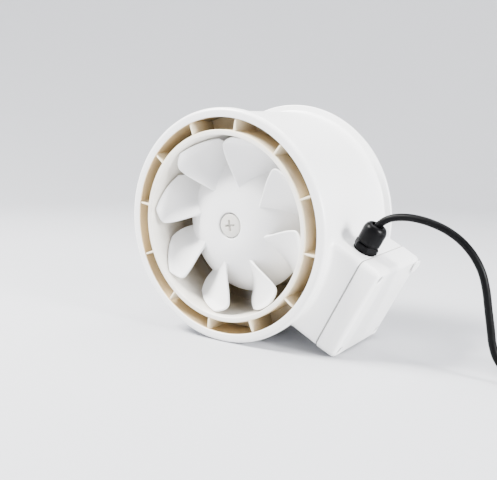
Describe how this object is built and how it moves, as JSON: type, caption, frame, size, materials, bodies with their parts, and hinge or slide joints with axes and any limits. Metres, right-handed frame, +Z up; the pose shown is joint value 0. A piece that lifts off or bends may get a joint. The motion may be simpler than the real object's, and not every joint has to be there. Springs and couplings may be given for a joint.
{
  "type": "inline duct fan",
  "caption": "Round inline duct fan with a bladed impeller inside a ribbed inlet sleeve, a side terminal box, a cable gland and a black supply cord wound in a coil with its plug.",
  "frame": {"origin": "centre of the fan's box on the surface that it stands on, the free cord, coil and plug left out", "axes": "+X towards the side that the terminal box faces, +Y from the intake side to the outlet side, +Z up; the fan's own axis rises 1.25 degrees towards the outlet, because the fan lies on its smaller front rim and its larger rear flange"},
  "size_m": [0.4243, 0.1633, 0.205],
  "materials": {
    "white_plastic": "bright white moulded ABS, semi-gloss",
    "cream_plastic": "cream-white moulded plastic, satin",
    "black_nylon": "moulded black nylon, satin",
    "black_rubber": "matte black rubber",
    "grey_rubber": "soft grey sealing rubber",
    "steel": "bright zinc-plated steel",
    "electrical_steel": "varnished steel laminations",
    "aluminium": "die-cast aluminium",
    "copper_winding": "enamelled copper wire, varnished",
    "brass": "plain turned brass",
    "terminal_plastic": "grey moulded polyamide",
    "cord_sheath": "smooth black PVC sheath, satin"
  },
  "bodies": {
    "root": {"cable_tail": "cord_sheath", "cord_coil": "cord_sheath", "cord_tail": "cord_sheath", "cord_tie": "black_rubber", "front_bearing_outer_race": "steel", "gland_body": "black_nylon", "gland_dome_nut": "black_nylon", "gland_locknut": "black_nylon", "gland_seal": "black_rubber", "gland_washer": "black_rubber", "guide_vane_housing": "cream_plastic", "housing_screw_1": "steel", "housing_screw_2": "steel", "housing_screw_3": "steel", "housing_screw_4": "steel", "inlet_sleeve": "cream_plastic", "lid_gasket": "grey_rubber", "lid_screw_1": "steel", "lid_screw_2": "steel", "lid_screw_3": "steel", "lid_screw_4": "steel", "motor_bolt_1": "steel", "motor_bolt_2": "steel", "motor_bolt_3": "steel", "motor_cover": "cream_plastic", "motor_front_bracket": "aluminium", "motor_lead": "black_rubber", "motor_rear_bracket": "aluminium", "outer_casing": "white_plastic", "plug_body": "black_nylon", "plug_pin_1": "brass", "plug_pin_2": "brass", "power_cord": "cord_sheath", "rear_bearing_outer_race": "steel", "run_capacitor": "black_nylon", "stator_core": "electrical_steel", "terminal_block": "terminal_plastic", "terminal_box_lid": "white_plastic", "terminal_screw_1": "brass", "terminal_screw_2": "brass", "terminal_screw_3": "brass", "winding_front": "copper_winding", "winding_rear": "copper_winding"},
    "rotor": {"front_bearing_inner_race": "steel", "impeller": "white_plastic", "impeller_cap_screw": "cream_plastic", "impeller_insert": "brass", "impeller_washer": "steel", "motor_shaft": "steel", "rear_bearing_inner_race": "steel", "rotor_core": "electrical_steel", "shaft_circlip": "steel"}
  },
  "joints": [
    {"name": "impeller_spin", "type": "hinge", "parent": "root", "child": "rotor", "pos_m": [-0.01787, -0.06064, 0.09988], "axis": [0, -0.9998, -0.0219], "continuous": true}
  ]
}
